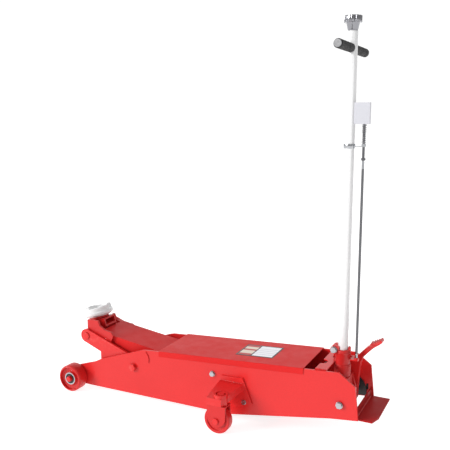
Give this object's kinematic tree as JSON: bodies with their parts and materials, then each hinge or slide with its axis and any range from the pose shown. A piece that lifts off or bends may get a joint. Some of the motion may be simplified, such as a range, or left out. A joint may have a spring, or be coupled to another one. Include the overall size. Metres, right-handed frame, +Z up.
{
  "type": "long-chassis service jack",
  "caption": "Wheeled hydraulic floor jack: long steel frame, levelled lifting arm with swivel saddle, upright pump handle, foot pedal, outrigger casters.",
  "frame": {"origin": "centre of the bounding box's base, on the floor the wheels stand on", "axes": "+X towards the handle end, -X towards the saddle, +Y to the right-hand side, +Z up"},
  "size_m": [1.434, 0.502, 1.585],
  "materials": {
    "red_paint": "gloss",
    "white_paint": "gloss",
    "grey_paint": "satin",
    "bare_steel": "machined",
    "spring_steel": "satin",
    "bright_zinc": "bright plated",
    "chrome": "polished",
    "black_rubber": "matt, ribbed",
    "black_steel": "satin",
    "label": "printed film"
  },
  "bodies": {
    "chassis": {"left_side_plate": "red_paint", "right_side_plate": "red_paint", "top_cover": "red_paint", "cover_label": "label", "cross_plate": "red_paint", "tie_bars": "bare_steel", "frame_bolts": "bright_zinc", "cover_clips": "red_paint", "foot_plate": "red_paint", "front_axle": "red_paint", "axle_collars": "black_steel", "arm_shaft": "bare_steel", "link_bolts": "red_paint", "left_caster_bracket": "red_paint", "right_caster_bracket": "red_paint", "unit_cradle": "red_paint", "ram_cylinder": "bare_steel", "reservoir": "black_steel", "pump_block": "black_steel", "yoke_shaft": "bright_zinc", "pedal_spring": "spring_steel", "pump_guard": "black_steel"},
    "valve": {"release_valve": "bright_zinc"},
    "left_wheel": {"left_front_wheel": "red_paint", "left_bearing": "bright_zinc"},
    "right_wheel": {"right_front_wheel": "red_paint", "right_bearing": "bright_zinc"},
    "left_swivel": {"left_caster_fork": "red_paint", "left_caster_pins": "red_paint"},
    "right_swivel": {"right_caster_fork": "red_paint", "right_caster_pins": "red_paint"},
    "left_roller": {"left_caster_wheel": "red_paint"},
    "right_roller": {"right_caster_wheel": "red_paint"},
    "arm": {"lift_arm": "red_paint", "lever_bar": "bare_steel"},
    "links": {"left_link": "red_paint", "right_link": "red_paint"},
    "head": {"saddle_head": "red_paint", "head_pins": "bare_steel"},
    "saddle_disc": {"saddle": "white_paint"},
    "ram": {"ram_rod": "chrome", "crosshead": "bare_steel", "return_springs": "spring_steel"},
    "handle": {"handle_socket": "red_paint", "handle_fasteners": "bright_zinc", "handle_tube": "white_paint", "cross_bar": "bare_steel", "left_grip": "black_rubber", "right_grip": "black_rubber", "rod_guide": "bright_zinc", "lock_spring": "spring_steel"},
    "lock": {"lock_rod": "bright_zinc", "lock_paddle": "grey_paint", "lock_collar": "bright_zinc", "lock_latch": "red_paint"},
    "release": {"release_knob": "chrome", "release_rod": "bare_steel"},
    "pedal": {"foot_pedal": "red_paint"},
    "hand_pump": {"hand_plunger": "chrome"},
    "foot_pump": {"foot_plunger": "chrome"}
  },
  "joints": [
    {"name": "left_wheel_spin", "type": "hinge", "parent": "chassis", "child": "left_wheel", "pos_m": [-0.657, -0.154, 0.06], "axis": [0, 1, 0], "continuous": true},
    {"name": "right_wheel_spin", "type": "hinge", "parent": "chassis", "child": "right_wheel", "pos_m": [-0.657, 0.154, 0.06], "axis": [0, 1, 0], "continuous": true},
    {"name": "left_caster_swivel", "type": "hinge", "parent": "chassis", "child": "left_swivel", "pos_m": [0.133, -0.221, 0.115], "axis": [0, 0, 1], "continuous": true},
    {"name": "right_caster_swivel", "type": "hinge", "parent": "chassis", "child": "right_swivel", "pos_m": [0.133, 0.221, 0.115], "axis": [0, 0, 1], "continuous": true},
    {"name": "left_caster_spin", "type": "hinge", "parent": "left_swivel", "child": "left_roller", "pos_m": [0.122, -0.221, 0.055], "axis": [0, 1, 0], "continuous": true},
    {"name": "right_caster_spin", "type": "hinge", "parent": "right_swivel", "child": "right_roller", "pos_m": [0.122, 0.221, 0.055], "axis": [0, 1, 0], "continuous": true},
    {"name": "arm_lift", "type": "hinge", "parent": "chassis", "child": "arm", "pos_m": [-0.244, 0, 0.14], "axis": [0, 1, 0], "range_deg": [-27, 38]},
    {"name": "link_swing", "type": "hinge", "parent": "chassis", "child": "links", "pos_m": [-0.346, 0, 0.152], "axis": [0, 1, 0], "range_deg": [-27, 38]},
    {"name": "head_level", "type": "hinge", "parent": "arm", "child": "head", "pos_m": [-0.505, 0, 0.238], "axis": [0, 1, 0], "range_deg": [-38, 27]},
    {"name": "saddle_turn", "type": "hinge", "parent": "head", "child": "saddle_disc", "pos_m": [-0.621, 0, 0.315], "axis": [-0.2419, 0, 0.9703], "continuous": true},
    {"name": "ram_travel", "type": "slide", "parent": "chassis", "child": "ram", "axis": [-1, 0, 0], "range_m": [-0.0277, 0.0389], "deforming": ["return_springs"]},
    {"name": "handle_swing", "type": "hinge", "parent": "chassis", "child": "handle", "pos_m": [0.581, 0, 0.168], "axis": [0, 1, 0], "range_deg": [0, 65]},
    {"name": "handle_lock", "type": "slide", "parent": "handle", "child": "lock", "axis": [0, 0, 1], "range_m": [-0.012, 0.018], "stiffness_N_per_m": 1500, "deforming": ["lock_spring"]},
    {"name": "release_turn", "type": "hinge", "parent": "handle", "child": "release", "pos_m": [0.553, 0, 1.56], "axis": [0, 0, 1], "range_deg": [0, 180]},
    {"name": "valve_turn", "type": "hinge", "parent": "chassis", "child": "valve", "pos_m": [0.463, -0.04, 0.12], "axis": [-1, 0, 0], "range_deg": [0, 180]},
    {"name": "pedal_press", "type": "hinge", "parent": "chassis", "child": "pedal", "pos_m": [0.581, 0.064, 0.168], "axis": [0, 1, 0], "range_deg": [0, 22], "stiffness_Nm_per_rad": 120, "springref_deg": -6.88},
    {"name": "hand_pump_stroke", "type": "slide", "parent": "chassis", "child": "hand_pump", "axis": [-1, 0, 0], "range_m": [0, 0.0305]},
    {"name": "foot_pump_stroke", "type": "slide", "parent": "chassis", "child": "foot_pump", "axis": [-1, 0, 0], "range_m": [0, 0.011]}
  ],
  "couplings": [
    {"joint": "link_swing", "follows": "arm_lift", "ratio": 1},
    {"joint": "head_level", "follows": "arm_lift", "ratio": -1},
    {"joint": "ram_travel", "follows": "arm_lift", "m_per_rad": 0.0585},
    {"joint": "hand_pump_stroke", "follows": "handle_swing", "m_per_rad": 0.0265},
    {"joint": "foot_pump_stroke", "follows": "pedal_press", "m_per_rad": 0.0275},
    {"joint": "valve_turn", "follows": "release_turn", "ratio": 1}
  ]
}
